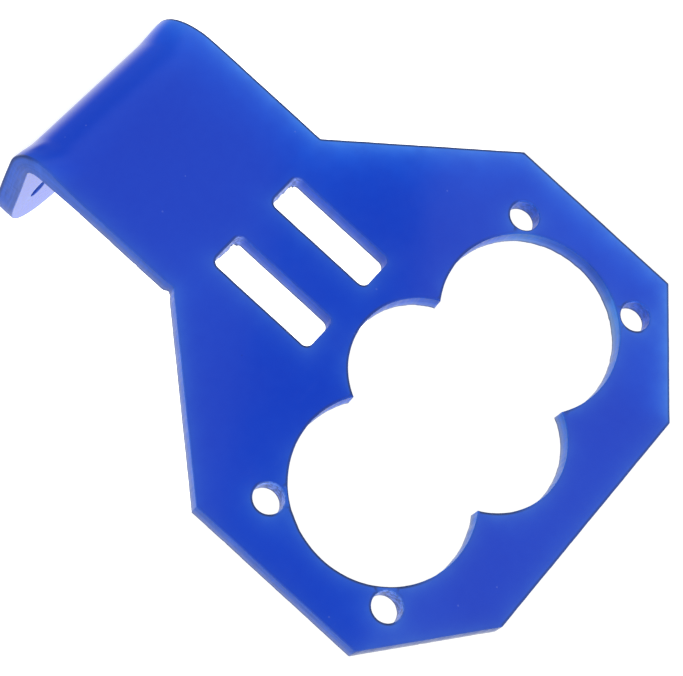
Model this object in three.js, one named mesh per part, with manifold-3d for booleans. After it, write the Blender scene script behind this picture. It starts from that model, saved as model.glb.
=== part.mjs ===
// Heat-bent plastic head bracket for a small pan turntable.
// One piece of flat sheet: an upright head plate with a four-lobed window for a
// twin-barrel sensor or camera board, and a short flange, bent back at a right
// angle, that screws down onto the arm of the pan servo.
//
// Units are millimetres, +Z up.
// +X runs across the head, +Y runs backwards from the head to the flange tip.
// The origin is on the pan axis, on the underside of the flange.

import * as THREE from 'three';
import { mergeVertices } from 'three/addons/utils/BufferGeometryUtils.js';
import Module from 'manifold-3d';

const wasm = await Module();
wasm.setup();

// ---------------------------------------------------------------- dimensions

const SHEET = 2.3;               // sheet thickness

// head plate, seen from the front: half widths and heights of its corners
const NECK_HALF = 11.6;          // neck and flange half width
const SHOULDER_Z = 20.9;         // the neck ends and the shoulders spread
const HEAD_HALF = 26.6;          // widest half width
const HEAD_LOW_Z = 37.0;         // shoulders meet the vertical sides
const HEAD_HIGH_Z = 57.4;        // vertical sides meet the top corner cuts
const TOP_HALF = 14.5;           // half width of the top edge
const TOP_Z = 66.7;              // top edge

// four-lobed window
const WINDOW_Z = 49.3;           // height of the window's centre
const BARREL_X = 12.2;           // side lobes, one for each barrel
const BARREL_R = 9.7;
const MID_DZ = 4.3;              // middle lobes, above and below the centre
const MID_R = 8.15;

// screw holes for the board
const BOARD_HOLE_X = 21.0;
const BOARD_HOLE_DZ = 7.7;
const BOARD_HOLE_Z = 49.25;
const BOARD_HOLE_R = 1.6;

// tie slots in the neck
const SLOT_X = 4.55;             // slot centre lines
const SLOT_LOW_Z = 21.8;
const SLOT_HIGH_Z = 34.5;
const SLOT_HALF = 2.13;          // half width of a slot
const SLOT_CORNER = 0.8;         // corner radius

// bend
const BEND_OUTER_R = 3.9;
const BEND_INNER_R = 1.0;

// flange
const PAN_SETBACK = 14.6;        // front face of the head to the pan axis
const FLANGE_ROUND_Y = 12.9;     // front face to the centre of the round end
const HUB_HOLE_R = 2.5;          // clearance over the servo's hub screw
const ARM_HOLE_X = 7.35;         // screws into the servo arm
const ARM_HOLE_R = 1.1;

const FRONT_Y = -PAN_SETBACK;                    // front face of the head
const ROUND_Y = FRONT_Y + FLANGE_ROUND_Y;        // centre of the round end

// ------------------------------------------------------------------- helpers

// closed geometry -> manifold solid
function solid(geometry) {
  const g = geometry.clone();
  g.deleteAttribute('normal');
  g.deleteAttribute('uv');
  const m = mergeVertices(g, 1e-4);
  return new wasm.Manifold(new wasm.Mesh({
    numProp: 3,
    vertProperties: new Float32Array(m.attributes.position.array),
    triVerts: new Uint32Array(m.index.array),
  }));
}

// manifold solid -> flat-shaded geometry
function geometryOf(manifold) {
  const mesh = manifold.getMesh();
  const g = new THREE.BufferGeometry();
  g.setAttribute('position', new THREE.BufferAttribute(new Float32Array(mesh.vertProperties), 3));
  g.setIndex(new THREE.BufferAttribute(new Uint32Array(mesh.triVerts), 1));
  g.computeVertexNormals();
  return g;
}

function extrude(shape, depth, curveSegments) {
  return new THREE.ExtrudeGeometry(shape, { depth, bevelEnabled: false, curveSegments });
}

// points on an arc about (cx, cy), from angle a to angle b, both ends included
function arc(cx, cy, r, a, b, n) {
  const pts = [];
  for (let i = 0; i <= n; i++) {
    const t = a + (b - a) * i / n;
    pts.push(new THREE.Vector2(cx + r * Math.cos(t), cy + r * Math.sin(t)));
  }
  return pts;
}

function circlePath(cx, cy, r, n) {
  return new THREE.Path(arc(cx, cy, r, 0, 2 * Math.PI, n).slice(0, -1));
}

// where the right-hand side lobe meets the upper middle lobe, in plate
// coordinates measured from the window's centre
function lobeCusp() {
  const d = Math.hypot(BARREL_X, MID_DZ);
  const a = (BARREL_R ** 2 - MID_R ** 2 + d ** 2) / (2 * d);     // from the side lobe
  const h = Math.sqrt(BARREL_R ** 2 - a ** 2);
  const ux = -BARREL_X / d, uz = MID_DZ / d;                     // side lobe -> middle lobe
  const p = [BARREL_X + ux * a + uz * h, uz * a - ux * h];
  const q = [BARREL_X + ux * a - uz * h, uz * a + ux * h];
  return p[1] > q[1] ? p : q;
}

// -------------------------------------------------------------- head plate
// Drawn in X-Z, extruded along Y by the sheet thickness. It starts a little way
// up the straight part of the bent strip below.

const STRIP_TOP_Z = BEND_OUTER_R + 3;
const PLATE_LOW_Z = BEND_OUTER_R + 1;

const head = new THREE.Shape();
head.moveTo(-NECK_HALF, PLATE_LOW_Z);
head.lineTo(NECK_HALF, PLATE_LOW_Z);
head.lineTo(NECK_HALF, SHOULDER_Z);
head.lineTo(HEAD_HALF, HEAD_LOW_Z);
head.lineTo(HEAD_HALF, HEAD_HIGH_Z);
head.lineTo(TOP_HALF, TOP_Z);
head.lineTo(-TOP_HALF, TOP_Z);
head.lineTo(-HEAD_HALF, HEAD_HIGH_Z);
head.lineTo(-HEAD_HALF, HEAD_LOW_Z);
head.lineTo(-NECK_HALF, SHOULDER_Z);
head.closePath();

// window: side lobe, upper middle lobe, side lobe, lower middle lobe
const [cuspX, cuspZ] = lobeCusp();
const sideEnd = Math.atan2(cuspZ, cuspX - BARREL_X);             // on the right side lobe
const midEnd = Math.atan2(cuspZ - MID_DZ, cuspX);                // on the upper middle lobe
const window4 = [
  ...arc(BARREL_X, WINDOW_Z, BARREL_R, -sideEnd, sideEnd, 56),
  ...arc(0, WINDOW_Z + MID_DZ, MID_R, midEnd, Math.PI - midEnd, 22).slice(1),
  ...arc(-BARREL_X, WINDOW_Z, BARREL_R, Math.PI - sideEnd, Math.PI + sideEnd, 56).slice(1),
  ...arc(0, WINDOW_Z - MID_DZ, MID_R, Math.PI + midEnd, 2 * Math.PI - midEnd, 22).slice(1, -1),
];
head.holes.push(new THREE.Path(window4));

for (const sx of [-1, 1]) {
  for (const sz of [-1, 1]) {
    head.holes.push(circlePath(sx * BOARD_HOLE_X, BOARD_HOLE_Z + sz * BOARD_HOLE_DZ, BOARD_HOLE_R, 32));
  }
  // tie slot with small rounded corners
  const x0 = sx * SLOT_X - SLOT_HALF, x1 = sx * SLOT_X + SLOT_HALF, r = SLOT_CORNER;
  head.holes.push(new THREE.Path([
    ...arc(x1 - r, SLOT_HIGH_Z - r, r, 0, Math.PI / 2, 6),
    ...arc(x0 + r, SLOT_HIGH_Z - r, r, Math.PI / 2, Math.PI, 6),
    ...arc(x0 + r, SLOT_LOW_Z + r, r, Math.PI, 1.5 * Math.PI, 6),
    ...arc(x1 - r, SLOT_LOW_Z + r, r, 1.5 * Math.PI, 2 * Math.PI, 6),
  ]));
}

// the shape's own Y becomes Z, and its extrusion runs from the front face back
const headGeometry = extrude(head, SHEET, 1);
headGeometry.rotateX(Math.PI / 2);                               // (x, y, z) -> (x, -z, y)
headGeometry.translate(0, FRONT_Y + SHEET, 0);

// -------------------------------------------------------------- bent strip
// L profile in Y-Z, as wide as the neck: a short upright, the bend, and a short
// length of the flange.

const cy = FRONT_Y + BEND_OUTER_R, cz = BEND_OUTER_R;            // centre of the outer arc
const iy = FRONT_Y + SHEET + BEND_INNER_R, iz = SHEET + BEND_INNER_R;   // of the inner arc
const STRIP_BACK_Y = cy + 3;
const profile = [
  new THREE.Vector2(FRONT_Y, STRIP_TOP_Z),
  ...arc(cy, cz, BEND_OUTER_R, Math.PI, 1.5 * Math.PI, 20),
  new THREE.Vector2(STRIP_BACK_Y, 0),
  new THREE.Vector2(STRIP_BACK_Y, SHEET),
  ...arc(iy, iz, BEND_INNER_R, 1.5 * Math.PI, Math.PI, 10),
  new THREE.Vector2(FRONT_Y + SHEET, STRIP_TOP_Z),
];
const stripGeometry = extrude(new THREE.Shape(profile), 2 * NECK_HALF, 1);
// the profile's x is Y, its y is Z, and its extrusion runs along X
stripGeometry.applyMatrix4(new THREE.Matrix4().set(
  0, 0, 1, -NECK_HALF,
  1, 0, 0, 0,
  0, 1, 0, 0,
  0, 0, 0, 1,
));

// ------------------------------------------------------------------ flange
// Drawn in X-Y, extruded up by the sheet thickness, with a half-round end.

const flange = new THREE.Shape([
  new THREE.Vector2(-NECK_HALF, cy + 1),
  new THREE.Vector2(NECK_HALF, cy + 1),
  ...arc(0, ROUND_Y, NECK_HALF, 0, Math.PI, 48),
]);
flange.holes.push(circlePath(0, 0, HUB_HOLE_R, 40));
flange.holes.push(circlePath(-ARM_HOLE_X, 0, ARM_HOLE_R, 28));
flange.holes.push(circlePath(ARM_HOLE_X, 0, ARM_HOLE_R, 28));
const flangeGeometry = extrude(flange, SHEET, 1);

// ------------------------------------------------------------------ one piece

const body = solid(headGeometry).add(solid(stripGeometry)).add(solid(flangeGeometry));

const bracket = new THREE.Mesh(
  geometryOf(body),
  new THREE.MeshStandardMaterial({ color: 0x1e45c6, roughness: 0.18, metalness: 0 }),
);
bracket.name = 'head_bracket';

const group = new THREE.Group();
group.add(bracket);

export default group;
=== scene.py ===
import math

import bpy
import numpy as np
from mathutils import Matrix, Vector
from mathutils.geometry import delaunay_2d_cdt


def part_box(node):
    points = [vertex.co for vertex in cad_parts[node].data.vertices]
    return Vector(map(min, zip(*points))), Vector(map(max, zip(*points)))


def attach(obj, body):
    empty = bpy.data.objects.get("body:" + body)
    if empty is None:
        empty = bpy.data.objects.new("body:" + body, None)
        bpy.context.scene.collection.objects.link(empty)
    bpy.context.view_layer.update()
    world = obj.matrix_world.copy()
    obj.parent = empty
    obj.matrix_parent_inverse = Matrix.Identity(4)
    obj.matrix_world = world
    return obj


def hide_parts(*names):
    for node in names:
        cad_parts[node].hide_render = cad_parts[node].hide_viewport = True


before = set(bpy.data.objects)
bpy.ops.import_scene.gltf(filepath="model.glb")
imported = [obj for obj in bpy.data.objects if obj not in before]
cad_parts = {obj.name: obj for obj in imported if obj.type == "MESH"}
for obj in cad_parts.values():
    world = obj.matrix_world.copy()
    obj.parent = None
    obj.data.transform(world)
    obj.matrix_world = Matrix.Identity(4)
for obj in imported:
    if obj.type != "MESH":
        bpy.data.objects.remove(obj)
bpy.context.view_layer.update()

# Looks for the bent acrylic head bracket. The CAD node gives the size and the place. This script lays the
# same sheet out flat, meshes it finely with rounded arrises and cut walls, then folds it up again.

# ----------------------------------------------------------------------------- camera, at the photograph's angle

cam_data = bpy.data.cameras.new("camera")
cam_data.sensor_fit = "HORIZONTAL"
cam_data.sensor_width = 36.0
cam_data.lens = 126.40136827
cam_data.clip_start = 0.01
cam_data.clip_end = 20.0
camera = bpy.data.objects.new("camera", cam_data)
bpy.context.scene.collection.objects.link(camera)
CAM_RIGHT = (-0.6168037078711789, -0.27332424968088176, 0.7381375484913013)
CAM_UP = (-0.6660987691599116, -0.31837777551360724, -0.6744983482430905)
CAM_BACK = (0.41936334565626476, -0.9077055946700944, 0.014315646146579125)
CAM_AT = (0.10288465005, -0.23004595756, 0.03962662393)
camera.matrix_world = Matrix(
    [[CAM_RIGHT[i], CAM_UP[i], CAM_BACK[i], CAM_AT[i]] for i in range(3)] + [[0, 0, 0, 1]]
)
bpy.context.scene.camera = camera

# ----------------------------------------------------------------------------- driving dimensions, millimetres

lo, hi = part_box("head_bracket")
FRONT_Y, TIP_Y = lo.y * 1000, hi.y * 1000
HEAD_HALF, TOP_Z = hi.x * 1000, hi.z * 1000
T = 2.3                       # sheet thickness
NECK = 11.6                   # half width of the neck and radius of the round end
SHOULDER_Z = 20.9
HEAD_LOW_Z, HEAD_HIGH_Z = 37.0, 57.4
TOP_HALF = 14.5
WINDOW_Z = 49.3
BARREL_X, BARREL_R = 12.2, 9.7
MID_DZ, MID_R = 4.3, 8.15
BOARD_X, BOARD_Z, BOARD_DZ, BOARD_R = 21.0, 49.25, 7.7, 1.6
SLOT_X, SLOT_LOW, SLOT_HIGH, SLOT_HALF, SLOT_R = 4.55, 21.8, 34.5, 2.13, 0.8
HUB_R, ARM_X, ARM_R = 2.5, 7.35, 1.1

FOLD = 9.0                    # the fold works on the sheet up to this far from the corner, both ways
S_TOP = FOLD                  # the flat pattern: s is the height above the corner on the plate
S_LOW = FOLD - 16.0           # and runs on below through the fold and the flange
RIM = 0.13                    # radius of the broken arris


def flange_s(y):
    """Pattern coordinate of a point on the flange at this Y."""
    return S_LOW - (y - FRONT_Y - FOLD)


# ----------------------------------------------------------------------------- the fold


def smooth(a, b, x):
    k = np.clip((x - a) / (b - a), 0.0, 1.0)
    return k * k * (3 - 2 * k)


def mix(a, b, k):
    return a + (b - a) * k


def corner_path(length, r, reach):
    """Along one face of the fold: straight down the plate, round the bend, straight along the flange."""
    straight = reach - r
    ang = np.clip((length - straight) / r, 0.0, math.pi / 2)
    rest = np.maximum(length - straight - r * math.pi / 2, 0.0)
    y = r * (1 - np.cos(ang)) + rest
    z = r * (1 - np.sin(ang)) + np.maximum(straight - length, 0.0)
    return y, z


def fold(x, s, n):
    """Flat pattern (x, s) at depth n below the front face -> the folded sheet, millimetres."""
    x, s, n = (np.asarray(v, float) for v in (x, s, n))
    k = n / T
    tau = np.clip((S_TOP - s) / (S_TOP - S_LOW), 0.0, 1.0)
    end_p, end_n = smooth(7.6, 11.8, x), smooth(8.0, 11.6, -x)
    r_out = mix(mix(7.0 - 0.05 * x, 4.6, end_p), 5.8, end_n)
    r_in = mix(mix(4.5, 1.3, end_p), 3.1, end_n)
    run_out = 2 * (FOLD - r_out) + r_out * math.pi / 2
    run_in = 2 * (FOLD - T - r_in) + r_in * math.pi / 2
    yo, zo = corner_path(tau * run_out, r_out, FOLD)
    yi, zi = corner_path(tau * run_in, r_in, FOLD - T)
    y = mix(yo, yi + T, k) + np.maximum(S_LOW - s, 0.0)
    z = mix(zo, zi + T, k) + np.maximum(s - S_TOP, 0.0)
    # warm sheet stretches outside the fold and draws in at the sides, and swells a little inside it
    pull = np.sin(math.pi * tau) ** 2 * smooth(6.0, 11.6, np.abs(x))
    side = np.where(x > 0, 0.28, 0.10) * (1 - k) - 0.14 * k
    return np.stack([x - np.sign(x) * side * pull, FRONT_Y + y, z], -1)


# ----------------------------------------------------------------------------- the flat pattern

STEP = 0.22


def line(p, q, step=STEP):
    p, q = np.array(p, float), np.array(q, float)
    count = max(1, int(math.ceil(np.linalg.norm(q - p) / step)))
    return [tuple(p + (q - p) * i / count) for i in range(count)]


def arc(c, r, a0, a1, step=STEP):
    count = max(2, int(math.ceil(abs(a1 - a0) * r / step)))
    return [
        (c[0] + r * math.cos(a0 + (a1 - a0) * i / count), c[1] + r * math.sin(a0 + (a1 - a0) * i / count))
        for i in range(count)
    ]


def rounded(points, radius):
    """A run of straight sides whose inner corners are rounded; the first and last points stay as they are."""
    out, start = [], np.array(points[0], float)
    for a, b, c in zip(points[:-2], points[1:-1], points[2:]):
        a, b, c = (np.array(v, float) for v in (a, b, c))
        u, v = (a - b) / np.linalg.norm(a - b), (c - b) / np.linalg.norm(c - b)
        half = math.acos(np.clip(np.dot(u, v), -1, 1)) / 2
        back = radius / math.tan(half)
        centre = b + (u + v) / np.linalg.norm(u + v) * radius / math.sin(half)
        p, q = b + u * back, b + v * back
        out += line(start, p)
        a0 = math.atan2(*(p - centre)[::-1])
        a1 = math.atan2(*(q - centre)[::-1])
        turn = (a1 - a0 + math.pi) % (2 * math.pi) - math.pi
        out += arc(centre, radius, a0, a0 + turn, step=0.08)
        start = q
    return out + line(start, points[-1])


def meet(c0, r0, c1, r1, upper):
    """Where two circles cross, the higher or the lower point."""
    c0, c1 = np.array(c0, float), np.array(c1, float)
    d = np.linalg.norm(c1 - c0)
    a = (r0 * r0 - r1 * r1 + d * d) / (2 * d)
    h = math.sqrt(r0 * r0 - a * a)
    e = (c1 - c0) / d
    m = c0 + e * a
    both = [m + h * np.array([-e[1], e[0]]), m - h * np.array([-e[1], e[0]])]
    return max(both, key=lambda p: p[1]) if upper else min(both, key=lambda p: p[1])


def sweep(c, r, p, q, step=STEP):
    """Anticlockwise along a circle from p to q."""
    a0 = math.atan2(p[1] - c[1], p[0] - c[0])
    a1 = math.atan2(q[1] - c[1], q[0] - c[0])
    while a1 <= a0:
        a1 += 2 * math.pi
    return arc(c, r, a0, a1, step)


ROUND_S = flange_s(TIP_Y - NECK)
outline = rounded(
    [
        (NECK, ROUND_S),
        (NECK, SHOULDER_Z),
        (HEAD_HALF, HEAD_LOW_Z),
        (HEAD_HALF, HEAD_HIGH_Z),
        (TOP_HALF, TOP_Z),
        (-TOP_HALF, TOP_Z),
        (-HEAD_HALF, HEAD_HIGH_Z),
        (-HEAD_HALF, HEAD_LOW_Z),
        (-NECK, SHOULDER_Z),
        (-NECK, ROUND_S),
    ],
    0.22,
) + arc((0, ROUND_S), NECK, math.pi, 2 * math.pi)

bp, bn = (BARREL_X, WINDOW_Z), (-BARREL_X, WINDOW_Z)
mu, ml = (0, WINDOW_Z + MID_DZ), (0, WINDOW_Z - MID_DZ)
ru, rl = meet(bp, BARREL_R, mu, MID_R, True), meet(bp, BARREL_R, ml, MID_R, False)
lu, ll = (-ru[0], ru[1]), (-rl[0], rl[1])
window = (
    sweep(bp, BARREL_R, rl, ru) + sweep(mu, MID_R, ru, lu) + sweep(bn, BARREL_R, lu, ll) + sweep(ml, MID_R, ll, rl)
)


def circle(x, s, r):
    return arc((x, s), r, 0, 2 * math.pi, step=min(STEP, r * 0.12))


def slot_loop(x):
    a, b = x - SLOT_HALF, x + SLOT_HALF
    return rounded(
        [(x, SLOT_LOW), (b, SLOT_LOW), (b, SLOT_HIGH), (a, SLOT_HIGH), (a, SLOT_LOW), (x, SLOT_LOW)], SLOT_R
    )


holes = [window, slot_loop(-SLOT_X), slot_loop(SLOT_X)]
holes += [circle(x, BOARD_Z + dz, BOARD_R) for x in (-BOARD_X, BOARD_X) for dz in (-BOARD_DZ, BOARD_DZ)]
holes += [circle(0, flange_s(0), HUB_R), circle(-ARM_X, flange_s(0), ARM_R), circle(ARM_X, flange_s(0), ARM_R)]

loops = [np.array(outline)] + [np.array(h)[::-1] for h in holes]   # material on the left of every loop


def frame_of(loop):
    """Unit tangents and unit normals into the material, with the miter factor of each corner."""
    prev, nxt = np.roll(loop, 1, 0), np.roll(loop, -1, 0)
    d0 = loop - prev
    d1 = nxt - loop
    d0 /= np.linalg.norm(d0, axis=1)[:, None]
    d1 /= np.linalg.norm(d1, axis=1)[:, None]
    t = d0 + d1
    t /= np.linalg.norm(t, axis=1)[:, None]
    inward = np.stack([-t[:, 1], t[:, 0]], -1)
    miter = 1 / np.clip((t * d1).sum(1), 0.55, 1)
    return t, inward, miter


def wobble(rng, length, at, waves, size):
    """A smooth periodic wander along a loop."""
    out = np.zeros_like(at)
    for wave in waves:
        turns = max(1, int(round(length / wave)))
        out += math.sqrt(wave / waves[0]) * np.sin(2 * math.pi * turns * at / length + rng.uniform(0, 2 * math.pi))
    return out * size


# ----------------------------------------------------------------------------- mesh

verts, norms, sheet, wall_w, rim_w, edge_w, pale_w, tint_w = [], [], [], [], [], [], [], []
quads = []
H = 0.01

# colour of the cut walls at three depths, paler towards the back face, and different where it looks up, down or
# sideways:
# painted light and shade, lighter where the wall looks down and darker where it looks up
TINT_N = (0.5, 1.1, 1.7)
WALL_TINT_AND_SHADE = {
    "side": ((0.023, 0.110, 0.605), (0.052, 0.134, 0.595), (0.140, 0.208, 0.560)),
    "down": ((0.046, 0.186, 0.880), (0.100, 0.200, 0.755), (0.200, 0.287, 0.687)),
    "up": ((0.027, 0.083, 0.384), (0.062, 0.109, 0.339), (0.186, 0.222, 0.416)),
    "slot": ((0.010, 0.106, 0.680), (0.043, 0.139, 0.730), (0.136, 0.232, 0.716)),
    "window": ((0.001, 0.076, 0.530), (0.014, 0.098, 0.598), (0.086, 0.174, 0.605)),
    "window_top": ((0.014, 0.165, 0.785), (0.062, 0.195, 0.725), (0.170, 0.275, 0.640)),
    "bore_n": ((0.008, 0.122, 0.715), (0.020, 0.140, 0.720), (0.072, 0.190, 0.735)),
    "bore_p": ((0.106, 0.270, 0.850), (0.150, 0.290, 0.800), (0.200, 0.310, 0.750)),
}


def tint_of(group, n):
    rows_ = np.array(WALL_TINT_AND_SHADE[group])
    return np.array([np.interp(n, TINT_N, rows_[:, c]) for c in range(3)])


def face_normal(x, s, n):
    du = fold(x + H, s, n) - fold(x - H, s, n)
    dv = fold(x, s + H, n) - fold(x, s - H, n)
    m = np.cross(du, dv)
    return m / np.linalg.norm(m, axis=1)[:, None]      # points to the front


CUT = RIM * (1 - math.sin(math.pi / 4))
wall_rows = 7
rows = [(RIM + 0.03, 0.0, 0.0), (RIM, 0.0, 0.0), (CUT, CUT, 0.5)]      # inset, depth, and how far round the arris
rows += [(0.0, RIM + (T - 2 * RIM) * i / (wall_rows - 1), 1.0) for i in range(wall_rows)]
rows += [(CUT, T - CUT, 0.5), (RIM, T, 0.0), (RIM + 0.03, T, 0.0)]

rng = np.random.RandomState(1207)
ring_front, ring_back, ring_pts = [], [], []
base = 0
edge_pts, edge_glow = [], []
for index, loop in enumerate(loops):
    t, inward, miter = frame_of(loop)
    seg = np.linalg.norm(np.roll(loop, -1, 0) - loop, axis=1)
    length = seg.sum()
    at = np.concatenate([[0], np.cumsum(seg)[:-1]])
    count = len(loop)
    outer = index == 0
    # the cut: a slow wander of the beam, fine striations, and the places where it started or chipped the sheet
    slow = wobble(rng, length, at, (9.0, 4.1, 2.3), 0.006)
    streak = rng.uniform(-1, 1, count)
    streak = (streak + np.roll(streak, 1) + np.roll(streak, -1)) / 3
    fine = wobble(rng, length, at, (1.1, 0.73, 0.41), 0.004) + 0.009 * streak
    burr = np.zeros(count)
    if index in (1, 2, 3):
        burr_n = rng.uniform(0, 1, count)
        burr_n = (burr_n + np.roll(burr_n, 1) + np.roll(burr_n, -1)) / 3
        burr_n = np.clip((burr_n - 0.36) * 3.4, 0, 1)
        if index in (2, 3):
            near = smooth(SLOT_LOW + 0.9, SLOT_LOW + 0.15, loop[:, 1])
            burr = 0.20 * near * burr_n
        else:
            burr = 0.04 * burr_n
    nick = np.zeros(count)
    if outer:
        for cx, cs, deep, wide in ((NECK, SHOULDER_Z - 0.35, 0.24, 0.20), (NECK, SHOULDER_Z + 0.10, 0.05, 0.12)):
            nick += deep * np.exp(-((loop[:, 0] - cx) ** 2 + (loop[:, 1] - cs) ** 2) / (2 * wide * wide))
        for cx, cs, deep in ((NECK, 16.4, 0.035), (NECK, 12.9, 0.03), (NECK, 8.7, 0.03), (26.6, 41.3, 0.03),
                             (20.8, 61.9, 0.035), (3.1, TOP_Z, 0.03), (-26.6, 50.2, 0.025), (-NECK, 14.2, 0.03)):
            nick += deep * np.exp(-((loop[:, 0] - cx) ** 2 + (loop[:, 1] - cs) ** 2) / (2 * 0.14**2))
    if index == 1:
        near = ((loop[:, 0] - 20.9) ** 2 + (loop[:, 1] - 44.8) ** 2) / (2 * 0.62**2)
        nick -= 0.085 * np.exp(-near * near)
        for cx, cs, deep in ((20.45, 43.95, 0.05), (21.36, 45.70, 0.04)):
            nick += deep * np.exp(-((loop[:, 0] - cx) ** 2 + (loop[:, 1] - cs) ** 2) / (2 * 0.12**2))
    # painted shade: how dark the painted line along the cut is, most where the wall behind it can't be seen from the
    # front right
    shade = 0.10 + 0.90 * smooth(-0.25, 0.35, inward[:, 0] - 0.45 * inward[:, 1])
    shade *= 1 - 0.35 * smooth(0.5, 0.95, -inward[:, 1])
    if outer:
        shade = np.maximum(shade, 0.80 * smooth(3.5, 0.5, loop[:, 1]))
    thin = np.zeros(count)                                     # the thin webs between the board holes and the window
    for cx in (-BOARD_X, BOARD_X):
        levels = (BOARD_Z - BOARD_DZ, BOARD_Z + BOARD_DZ)
        for cs in levels:
            web_x = cx - math.copysign(1.36, cx)
            web_s = cs - math.copysign(1.19, cs - sum(levels) / 2)
            thin = np.maximum(thin, smooth(1.4, 0.6, np.hypot(loop[:, 0] - web_x, loop[:, 1] - web_s)))
    first = base
    for row, (inset, n, kind) in enumerate(rows):
        k = n / T
        w = slow + fine * (0.35 + 0.65 * math.sin(math.pi * k) + 0.2 * k)
        if outer:
            w = w + 0.014                                  # stays inside the CAD outline
        w = w + nick * (0.35 + 0.9 * k) - burr * k * k
        w = np.maximum(w, 0.004) if outer else w
        q = loop + inward * ((inset + w) * miter)[:, None]
        p = fold(q[:, 0], q[:, 1], np.full(count, n))
        along = fold(q[:, 0] + t[:, 0] * H, q[:, 1] + t[:, 1] * H, np.full(count, n)) - fold(
            q[:, 0] - t[:, 0] * H, q[:, 1] - t[:, 1] * H, np.full(count, n)
        )
        along /= np.linalg.norm(along, axis=1)[:, None]
        through = fold(q[:, 0], q[:, 1], np.full(count, T)) - fold(q[:, 0], q[:, 1], np.zeros(count))
        through /= np.linalg.norm(through, axis=1)[:, None]
        out = np.cross(through, along)
        out /= np.linalg.norm(out, axis=1)[:, None]
        sign = 1.0 if n < T / 2 else -1.0
        fn = face_normal(q[:, 0], q[:, 1], np.full(count, n)) * sign
        slope = (np.roll(w, -1) - np.roll(w, 1)) / (seg + np.roll(seg, 1))
        wall_n = out + along * slope[:, None] * 0.8
        wall_n /= np.linalg.norm(wall_n, axis=1)[:, None]
        ang = kind * math.pi / 2
        nn = fn * math.cos(ang) + wall_n * math.sin(ang)
        nn /= np.linalg.norm(nn, axis=1)[:, None]
        verts.append(p)
        norms.append(nn)
        sheet.append(np.column_stack([q, np.full(count, n)]))
        wall_w.append(np.full(count, kind))
        # painted shade: weight of the dark line on the front arris, and a fainter painted line on the back arris that
        # darkens higher up the sheet
        painted_line_weight = shade if n < T / 2 else 0.22 + (0.50 if outer else 0.75) * smooth(6.0, 11.0, loop[:, 1])
        on_rim = 0.1 if row == len(rows) - 1 else 1.0 if kind < 1.0 or n in (RIM, T - RIM) else 0.0
        rim_w.append(painted_line_weight * on_rim)
        edge_w.append(inset + 0.20 * thin if row == 0 else np.full(count, inset if row == 1 else 0.0))
        pale_w.append(np.full(count, 1.0 if index in (6, 7) else 0.5 if index > 3 else 0.0))
        # painted light and shade: the wall colour changes with which way each wall faces, lighter looking down, darker
        # looking up
        down = smooth(0.15, 0.60, inward[:, 1])[:, None]       # the wall looks down where the material is above it
        up = smooth(0.15, 0.60, -inward[:, 1])[:, None]
        if outer:
            tint = mix(mix(tint_of("side", n), tint_of("down", n), down), tint_of("up", n), up)
            fore = smooth(12.0, 8.0, loop[:, 1])[:, None]
            tint = mix(tint, tint_of("side", 0.55 + 0.35 * n), fore)
        elif index == 1:
            tint = mix(tint_of("window", n), tint_of("window_top", n), down) * np.ones((count, 1))
            for cx in (-BOARD_X, BOARD_X):                     # light leaks through the thin webs at the board holes
                for cs in (BOARD_Z - BOARD_DZ, BOARD_Z + BOARD_DZ):
                    web = ((loop[:, 0] - cx) ** 2 + (loop[:, 1] - cs) ** 2)[:, None] / (2 * 1.7**2)
                    tint = tint + np.exp(-web) * np.array([0.02, 0.11, 0.03])
        else:
            tint = np.ones((count, 1)) * tint_of("slot" if index < 4 else "bore_p" if index in (6, 7) else "bore_n", n)
            if index < 4:                                      # the ragged low end, where the beam started
                low_end = smooth(SLOT_LOW + 1.1, SLOT_LOW + 0.1, loop[:, 1])
                tint = mix(tint, np.array([0.22, 0.32, 0.74]), 0.6 * low_end[:, None])
                pale_w[-1] = low_end
        tint_w.append(tint)
        if row == 0:
            ring_front.append((base, count))
            ring_pts.append(q)
        if row == len(rows) - 1:
            ring_back.append((base, count))
        base += count
    for r in range(len(rows) - 1):
        a, b = first + r * count, first + (r + 1) * count
        i = np.arange(count)
        j = (i + 1) % count
        quads.append(np.column_stack([a + i, a + j, b + j, b + i]))
    # how much light a cut edge takes in: most where it looks to the open side, less inside the openings
    edge_pts.append(loop)
    share = 0.86 * smooth(-0.15, 0.85, inward[:, 0]) + 0.20 * smooth(0.0, 0.9, inward[:, 1])
    share += 0.14 * smooth(34.0, 18.0, loop[:, 1])
    top, lit = smooth(0.2, 0.9, -inward[:, 1]), smooth(0.3, 0.9, -inward[:, 0])
    if outer:
        edge_glow.append((share + 0.14 + 0.26 * top + 0.06 * lit, share + 0.05 - 0.13 * lit, shade))
    else:
        edge_glow.append(((share + 0.14 + 0.32 * smooth(0.2, 0.9, inward[:, 1])) * 0.50, (share + 0.05) * 0.20, shade))


def inside(points, polygon):
    """Even-odd test of many points against one closed polygon."""
    x, y = points[:, 0][:, None], points[:, 1][:, None]
    x0, y0 = polygon[:, 0][None], polygon[:, 1][None]
    x1, y1 = np.roll(polygon[:, 0], -1)[None], np.roll(polygon[:, 1], -1)[None]
    cross = ((y0 > y) != (y1 > y)) & (x < (x1 - x0) * (y - y0) / (y1 - y0 + 1e-30) + x0)
    return cross.sum(1) % 2 == 1


def in_sheet(points):
    keep = np.zeros(len(points), bool)
    for start in range(0, len(points), 2000):
        part = points[start : start + 2000]
        ok = inside(part, ring_pts[0])
        for ring in ring_pts[1:]:
            ok &= ~inside(part, ring)
        keep[start : start + 2000] = ok
    return keep


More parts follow.
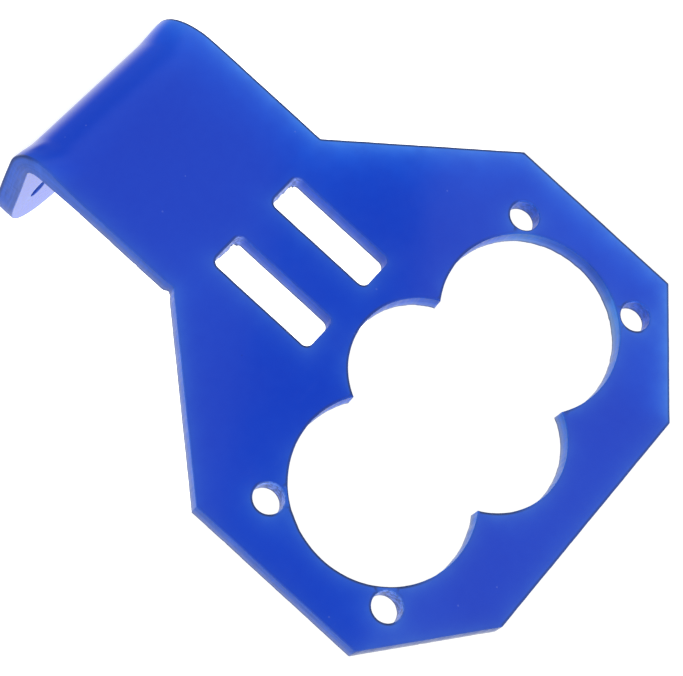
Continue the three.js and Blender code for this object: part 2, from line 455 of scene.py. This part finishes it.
def edge_light(points):
    """Distance to the nearest cut edge, the light that the edges let in close by and further in, and the shade."""
    dist = np.full(len(points), 1e9)
    close, wide, dark = np.zeros(len(points)), np.zeros(len(points)), np.zeros(len(points))
    for start in range(0, len(points), 1500):
        part = points[start : start + 1500]
        here = slice(start, start + len(part))
        for pts, (near, far, shade) in zip(edge_pts, edge_glow):
            d = np.sqrt(((part[:, None, :] - pts[None]) ** 2).sum(2))
            least = d.min(1)
            weight = np.exp(-(d - least[:, None]) / 0.5)
            weight /= weight.sum(1)[:, None]
            dark[here] = np.where(least < dist[here], (weight * shade[None]).sum(1), dark[here])
            dist[here] = np.minimum(dist[here], least)
            close[here] += (weight * near[None]).sum(1) * np.exp(-least / 0.85)
            wide[here] += (weight * far[None]).sum(1) * np.exp(-least / 3.2)
    return dist, close, wide, dark


grid = []
for j, s in enumerate(np.arange(ROUND_S - NECK, TOP_Z, 0.56)):
    if S_LOW - 0.2 < s < S_TOP + 0.2:
        continue
    grid += [(x + (0.32 if j % 2 else 0.0), s) for x in np.arange(-HEAD_HALF, HEAD_HALF, 0.64)]
for j, s in enumerate(np.arange(S_LOW, S_TOP + 0.01, 0.34)):
    grid += [(x + (0.2 if j % 2 else 0.0), s) for x in np.arange(-NECK, NECK, 0.42)]
grid = np.array(grid)
grid = grid[in_sheet(grid)]
grid = grid[edge_light(grid)[0] > RIM + 0.26]

ring_all = np.concatenate(ring_pts)
flat = np.concatenate([ring_all, grid])
edges, at = [], 0
for ring in ring_pts:
    c = len(ring)
    edges += [(at + i, at + (i + 1) % c) for i in range(c)]
    at += c
tv, te, tf, ov, oe, of_ = delaunay_2d_cdt([tuple(map(float, p)) for p in flat], edges, [], 0, 1e-6)
tv = np.array([(v.x, v.y) for v in tv])
source = np.array([o[0] if len(o) else -1 for o in ov])
if len(tv) != len(flat) or (source < 0).any():
    raise RuntimeError("the flat pattern's triangulation added or merged points")
tri = np.array([[source[i] for i in f] for f in tf])
mid = flat[tri].mean(1)
tri = tri[in_sheet(mid)]
a, b, c = flat[tri[:, 0]], flat[tri[:, 1]], flat[tri[:, 2]]
turn = (b[:, 0] - a[:, 0]) * (c[:, 1] - a[:, 1]) - (b[:, 1] - a[:, 1]) * (c[:, 0] - a[:, 0])
tri[turn < 0] = tri[turn < 0][:, ::-1]

grid_dist, _, _, grid_dark = edge_light(grid)
front_id = np.concatenate([np.arange(f, f + c) for f, c in ring_front])
back_id = np.concatenate([np.arange(f, f + c) for f, c in ring_back])
for n, ids, sign in ((0.0, front_id, 1.0), (T, back_id, -1.0)):
    p = fold(grid[:, 0], grid[:, 1], np.full(len(grid), n))
    verts.append(p)
    norms.append(face_normal(grid[:, 0], grid[:, 1], np.full(len(grid), n)) * sign)
    sheet.append(np.column_stack([grid, np.full(len(grid), n)]))
    wall_w.append(np.zeros(len(grid)))
    # painted shade: the dark line carried onto the front face next to the cut
    rim_w.append(grid_dark if n == 0.0 else np.zeros(len(grid)))
    edge_w.append(grid_dist)
    pale_w.append(np.zeros(len(grid)))
    tint_w.append(np.tile(tint_of("side", n), (len(grid), 1)))
    ids_all = np.concatenate([ids, np.arange(base, base + len(grid))])
    base += len(grid)
    faces = ids_all[tri]
    quads.append(faces if n == 0.0 else faces[:, ::-1])

verts = np.concatenate(verts) / 1000.0
norms = np.concatenate(norms)
polys = []
for block in quads:
    polys += block.tolist()

mesh = bpy.data.meshes.new("bent_sheet")
mesh.from_pydata(verts.tolist(), [], polys)
mesh.update()

# the walls were listed from front to back along each loop; turn every face that points inward
me_n = np.zeros(len(mesh.polygons) * 3)
mesh.polygons.foreach_get("normal", me_n)
me_n = me_n.reshape(-1, 3)
first_vert = np.array([p[0] for p in polys])
flip = (me_n * norms[first_vert]).sum(1) < 0
if flip.any():
    polys = [list(reversed(p)) if f else p for p, f in zip(polys, flip)]
    mesh.clear_geometry()
    mesh.from_pydata(verts.tolist(), [], polys)
    mesh.update()
mesh.validate()


def attribute(name, kind, values):
    layer = mesh.attributes.new(name, kind, "POINT")
    layer.data.foreach_set("vector" if kind == "FLOAT_VECTOR" else "value", np.ascontiguousarray(values, np.float32).ravel())


if len(np.concatenate(tint_w)) != len(verts):
    raise RuntimeError("the wall colours do not match the vertices")


sheet = np.concatenate(sheet)
_, close, wide, _ = edge_light(sheet[:, :2])
attribute("sheet", "FLOAT_VECTOR", sheet)
attribute("close", "FLOAT", close)
attribute("wide", "FLOAT", wide)
attribute("wall", "FLOAT", np.concatenate(wall_w))
attribute("rim", "FLOAT", np.concatenate(rim_w))
attribute("edge", "FLOAT", np.concatenate(edge_w))
attribute("pale", "FLOAT", np.concatenate(pale_w))
attribute("tint", "FLOAT_VECTOR", np.concatenate(tint_w))
mesh.polygons.foreach_set("use_smooth", [True] * len(mesh.polygons))
mesh.normals_split_custom_set_from_vertices(norms.tolist())

bracket = bpy.data.objects.new("bent_head_bracket", mesh)
bpy.context.scene.collection.objects.link(bracket)

# ----------------------------------------------------------------------------- acrylic


class Nodes:
    """Short names for building a node tree."""

    def __init__(self, tree):
        self.tree = tree
        self.tree.nodes.clear()

    def add(self, kind, **sockets):
        node = self.tree.nodes.new(kind)
        for key, value in sockets.items():
            if key.startswith("_"):
                setattr(node, key[1:], value)
        for key, value in sockets.items():
            if not key.startswith("_"):
                self.put(node.inputs[key.replace("__", " ")], value)
        return node

    def put(self, socket, value):
        if isinstance(value, bpy.types.NodeSocket):
            self.tree.links.new(value, socket)
        else:
            socket.default_value = value

    def math(self, op, a, b=None, c=None, clamp=False):
        node = self.tree.nodes.new("ShaderNodeMath")
        node.operation = op
        node.use_clamp = clamp
        for i, v in enumerate((a, b, c)):
            if v is not None:
                self.put(node.inputs[i], v)
        return node.outputs[0]

    def vec(self, op, a, b=None, out=0):
        node = self.tree.nodes.new("ShaderNodeVectorMath")
        node.operation = op
        self.put(node.inputs[0], a)
        if b is not None:
            self.put(node.inputs[1], b)
        return node.outputs[out]

    def scale(self, a, b):
        return self.vec("MULTIPLY", a, b)

    def dot(self, a, b):
        return self.vec("DOT_PRODUCT", a, b, "Value")

    def ramp(self, value, low, high, out_low=0.0, out_high=1.0, kind="SMOOTHSTEP"):
        node = self.tree.nodes.new("ShaderNodeMapRange")
        node.interpolation_type = kind
        node.clamp = True
        for name, v in (("Value", value), ("From Min", low), ("From Max", high), ("To Min", out_low), ("To Max", out_high)):
            self.put(node.inputs[name], v)
        return node.outputs["Result"]

    def color(self, k, a, b, blend="MIX"):
        node = self.tree.nodes.new("ShaderNodeMix")
        node.data_type = "RGBA"
        node.blend_type = blend
        node.clamp_factor = True
        ins = [i for i in node.inputs if i.enabled]
        self.put(ins[0], k)
        self.put(ins[1], a if isinstance(a, bpy.types.NodeSocket) else (*a, 1.0))
        self.put(ins[2], b if isinstance(b, bpy.types.NodeSocket) else (*b, 1.0))
        return [o for o in node.outputs if o.enabled][0]

    def blend(self, k, a, b):
        node = self.tree.nodes.new("ShaderNodeMix")
        node.data_type = "FLOAT"
        node.clamp_factor = True
        ins = [i for i in node.inputs if i.enabled]
        self.put(ins[0], k)
        self.put(ins[1], a)
        self.put(ins[2], b)
        return [o for o in node.outputs if o.enabled][0]

    def attr(self, name):
        node = self.tree.nodes.new("ShaderNodeAttribute")
        node.attribute_type = "GEOMETRY"
        node.attribute_name = name
        return node

    def noise(self, vector, scale, detail=2.0, rough=0.5, distortion=0.0):
        node = self.tree.nodes.new("ShaderNodeTexNoise")
        node.noise_dimensions = "3D"
        self.put(node.inputs["Vector"], vector)
        node.inputs["Scale"].default_value = scale
        node.inputs["Detail"].default_value = detail
        node.inputs["Roughness"].default_value = rough
        node.inputs["Distortion"].default_value = distortion
        return node.outputs["Fac"]


acrylic = bpy.data.materials.new("royal_blue_acrylic")
acrylic.use_nodes = True
g = Nodes(acrylic.node_tree)
out = g.add("ShaderNodeOutputMaterial")
bsdf = g.add("ShaderNodeBsdfPrincipled")
g.tree.links.new(bsdf.outputs["BSDF"], out.inputs["Surface"])
bsdf.inputs["IOR"].default_value = 1.49
bsdf.inputs["Metallic"].default_value = 0.0

at_sheet = g.attr("sheet").outputs["Vector"]
at_close = g.attr("close").outputs["Fac"]
at_wide = g.attr("wide").outputs["Fac"]
at_wall = g.attr("wall").outputs["Fac"]
# painted shade: the dark line along the cut, kept to a thin strip next to the edge
at_rim = g.math("MULTIPLY", g.attr("rim").outputs["Fac"], g.ramp(g.attr("edge").outputs["Fac"], 0.34, 0.16))
at_pale = g.attr("pale").outputs["Fac"]
split = g.add("ShaderNodeSeparateXYZ", Vector=at_sheet)
sx, ss, sn = split.outputs

# pigment cloud in the cast sheet
cloud = g.noise(at_sheet, 0.055, 2.0, 0.5)
grainy = g.noise(at_sheet, 0.9, 3.0, 0.55)
body = g.color(g.ramp(cloud, 0.3, 0.7), (0.0025, 0.0385, 0.495), (0.0035, 0.0440, 0.515))
body = g.color(g.ramp(grainy, 0.35, 0.65, 0.0, 0.12), body, (0.0070, 0.0560, 0.550))

# light that comes in at the cut and lights the sheet along it: pale close to the cut, blue further in
patchy = g.ramp(g.noise(at_sheet, 0.35, 2.0), 0.3, 0.7, 0.85, 1.12)
body = g.color(g.math("MULTIPLY", at_wide, patchy), body, (0.001, 0.042, 0.185), "ADD")
body = g.color(g.math("MULTIPLY", at_close, patchy), body, (0.044, 0.112, 0.050), "ADD")

# painted light: lighter blue from the upper part of the fold down through the flange, stronger further down, to
# brighten the bend where it faces down away from the light
body = g.color(g.ramp(ss, 7.5, 3.5), body, (0.0, 0.010, 0.080), "ADD")
body = g.color(g.ramp(ss, 3.0, -1.5), body, (0.0, 0.012, 0.090), "ADD")

# specks of dust and tiny pits
cells = g.add("ShaderNodeTexVoronoi", _voronoi_dimensions="3D", _feature="F1", Vector=at_sheet, Scale=0.42)
speck = g.math("LESS_THAN", cells.outputs["Distance"], 0.045)
pick = g.add("ShaderNodeSeparateColor", Color=cells.outputs["Color"]).outputs[0]
speck_light = g.math("MULTIPLY", speck, g.math("GREATER_THAN", pick, 0.62))
speck_dark = g.math("MULTIPLY", speck, g.math("LESS_THAN", pick, 0.30))
body = g.color(g.math("MULTIPLY", speck_light, 0.16), body, (0.25, 0.34, 0.72))
body = g.color(g.math("MULTIPLY", speck_dark, 0.35), body, (0.002, 0.020, 0.25))

# cut walls: frosted, paler towards the back face, with the beam's striations through the thickness
streak = g.noise(g.scale(at_sheet, (3.4, 3.4, 0.22)), 1.0, 3.0, 0.6)
coarse = g.noise(g.scale(at_sheet, (0.9, 0.9, 0.35)), 1.0, 2.0, 0.5)
melt = g.noise(at_sheet, 2.1, 3.0, 0.6)                        # the small bores melted a little as they were cut
drawn = g.noise(g.scale(at_sheet, (0.30, 0.30, 4.2)), 1.0, 2.0, 0.6)
lined = g.math("MULTIPLY", g.ramp(streak, 0.34, 0.70, 0.95, 1.06), g.ramp(coarse, 0.50, 0.80, 1.03, 0.92))
lined = g.math("MULTIPLY", lined, g.ramp(drawn, 0.34, 0.68, 0.90, 1.12))
melted = g.ramp(melt, 0.38, 0.60, 0.62, 1.36)
# the wall colour holds painted light and shade by which way each wall faces
wall = g.vec("MULTIPLY", g.attr("tint").outputs["Vector"], g.blend(at_pale, lined, melted))
bright = g.math("MULTIPLY", g.ramp(melt, 0.58, 0.68, 0.0, 0.35), at_pale)
wall = g.color(bright, wall, (0.42, 0.50, 0.80))
colour = g.color(at_wall, body, wall)
# painted shade: a dark line laid over the colour along the cut edges
colour = g.color(g.math("MULTIPLY", at_rim, 0.92), colour, (0.016, 0.038, 0.133))
g.put(bsdf.inputs["Base Color"], colour)

# gloss: clean sheet with faint haze and rub marks, frosted walls
haze = g.ramp(g.noise(at_sheet, 0.16, 4.0, 0.6), 0.35, 0.75, 0.0, 0.04)
rub = g.noise(g.scale(at_sheet, (0.35, 5.0, 1.0)), 1.0, 2.0, 0.55)
rubbed = g.ramp(rub, 0.60, 0.74, 0.0, 0.05)
face_rough = g.math("ADD", g.math("ADD", 0.055, haze), rubbed)
wall_rough = g.ramp(streak, 0.25, 0.75, 0.30, 0.52)
rough = g.blend(at_wall, face_rough, wall_rough)
g.put(bsdf.inputs["Roughness"], g.blend(g.math("MULTIPLY", at_rim, 0.9), rough, 0.22))

# relief: striations on the walls, a very slight flow and hairline scratches on the faces
scratch_a = g.noise(g.scale(at_sheet, (0.16, 7.0, 1.0)), 1.0, 1.0, 0.5)
turned = g.add("ShaderNodeVectorRotate", _rotation_type="Z_AXIS", Vector=at_sheet, Angle=0.9).outputs[0]
scratch_b = g.noise(g.scale(turned, (0.12, 8.0, 1.0)), 1.0, 1.0, 0.5)
lines = g.math("ADD", g.ramp(scratch_a, 0.70, 0.76), g.ramp(scratch_b, 0.71, 0.77))
flow = g.noise(at_sheet, 0.12, 1.0, 0.4)
face_h = g.math("SUBTRACT", g.math("MULTIPLY", flow, 0.006), g.math("MULTIPLY", lines, 0.0010))
wall_h = g.math("ADD", g.math("MULTIPLY", streak, 0.022), g.math("MULTIPLY", g.noise(at_sheet, 4.5, 3.0), 0.012))
height = g.blend(at_wall, face_h, wall_h)
bump = g.add("ShaderNodeBump", Strength=1.0, Distance=0.001, Height=height)
g.tree.links.new(bump.outputs["Normal"], bsdf.inputs["Normal"])

mesh.materials.append(acrylic)

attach(bracket, "root")
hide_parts("head_bracket")

# ----------------------------------------------------------------------------- floor

floor_mesh = bpy.data.meshes.new("floor")
floor_mesh.from_pydata([(-3, -3, -0.00003), (3, -3, -0.00003), (3, 3, -0.00003), (-3, 3, -0.00003)], [], [(0, 1, 2, 3)])
floor = bpy.data.objects.new("floor", floor_mesh)
bpy.context.scene.collection.objects.link(floor)
white = bpy.data.materials.new("white_paper")
white.use_nodes = True
g = Nodes(white.node_tree)
out = g.add("ShaderNodeOutputMaterial")
bsdf = g.add("ShaderNodeBsdfPrincipled")
g.tree.links.new(bsdf.outputs["BSDF"], out.inputs["Surface"])
where = g.add("ShaderNodeTexCoord").outputs["Object"]
tone = g.noise(where, 40.0, 3.0)
g.put(bsdf.inputs["Base Color"], g.color(tone, (0.66, 0.66, 0.66), (0.70, 0.70, 0.70)))
bsdf.inputs["Roughness"].default_value = 0.95
bsdf.inputs["Specular IOR Level"].default_value = 0.1
bsdf.inputs["Emission Color"].default_value = (1, 1, 1, 1)
bsdf.inputs["Emission Strength"].default_value = 0.92
floor_mesh.materials.append(white)
floor.visible_glossy = False
floor.visible_diffuse = False

# ----------------------------------------------------------------------------- soft studio light: a white tent

world = bpy.data.worlds.new("tent")
bpy.context.scene.world = world
world.use_nodes = True
world.cycles.sampling_method = "NONE"
g = Nodes(world.node_tree)
out = g.add("ShaderNodeOutputWorld")
direction = g.add("ShaderNodeTexCoord").outputs["Generated"]
dx, dy, dz = g.add("ShaderNodeSeparateXYZ", Vector=direction).outputs
path = g.add("ShaderNodeLightPath")

# what the gloss sees: pale cloth all round, with the tent's open front between its two lit sides
MIRROR_RIGHT = (CAM_RIGHT[0], -CAM_RIGHT[1], CAM_RIGHT[2])
MIRROR_AHEAD = (-CAM_BACK[0], CAM_BACK[1], -CAM_BACK[2])
MIRROR_UP = (CAM_UP[0], -CAM_UP[1], CAM_UP[2])
ahead = g.math("MAXIMUM", g.dot(direction, MIRROR_AHEAD), 0.05)
across = g.math("DIVIDE", g.dot(direction, MIRROR_RIGHT), ahead)
along = g.math("DIVIDE", g.dot(direction, MIRROR_UP), ahead)
side_a = g.ramp(g.math("SUBTRACT", across, g.math("MULTIPLY", along, 0.17)), -0.0455, -0.0305, 1.0, 0.0)
side_b = g.ramp(g.math("SUBTRACT", across, g.math("MULTIPLY", along, 0.135)), 0.0254, 0.0316, 0.0, 1.0)
sheen = g.blend(side_a, g.blend(side_b, 0.16, 0.60), 0.46)
sheen = g.blend(g.ramp(dz, -0.24, -0.50), sheen, g.ramp(dy, -0.64, -0.26, 0.48, 0.21))   # dim low in front
sheen = g.blend(g.ramp(dz, 0.25, 0.75), sheen, 0.90)           # lamp cloth above
behind = g.ramp(dx, -0.10, 0.35, 1.0, 0.30)                    # white paper behind, open to the right
sheen = g.blend(g.ramp(dy, 0.20, 0.68), sheen, behind)
room = g.math("SUBTRACT", g.ramp(dy, 0.0, 0.5, -0.66, -0.50), dx)
sheen = g.blend(g.ramp(room, 0.0, 0.12), sheen, 0.10)          # the dark room past the tent, at the left and overhead
sheen = g.blend(g.ramp(dz, 0.55, 0.78), sheen, 0.14)

# what lights the sheet: soft all round, brighter from above
key = g.ramp(g.dot(direction, (-0.45, -0.55, 0.70)), -0.6, 1.0, 0.88, 1.00, kind="LINEAR")
key = g.math("ADD", key, g.ramp(dz, 0.35, 1.0, 0.0, 1.1))
seen = g.blend(path.outputs["Is Glossy Ray"], key, sheen)
seen = g.blend(path.outputs["Is Camera Ray"], seen, 1.05)
back = g.add("ShaderNodeBackground", Color=(1, 1, 1, 1), Strength=seen)
g.tree.links.new(back.outputs[0], out.inputs["Surface"])

scene = bpy.context.scene
scene.view_settings.view_transform = "Standard"
scene.view_settings.look = "None"
scene.view_settings.exposure = 0.0
scene.view_settings.gamma = 1.0
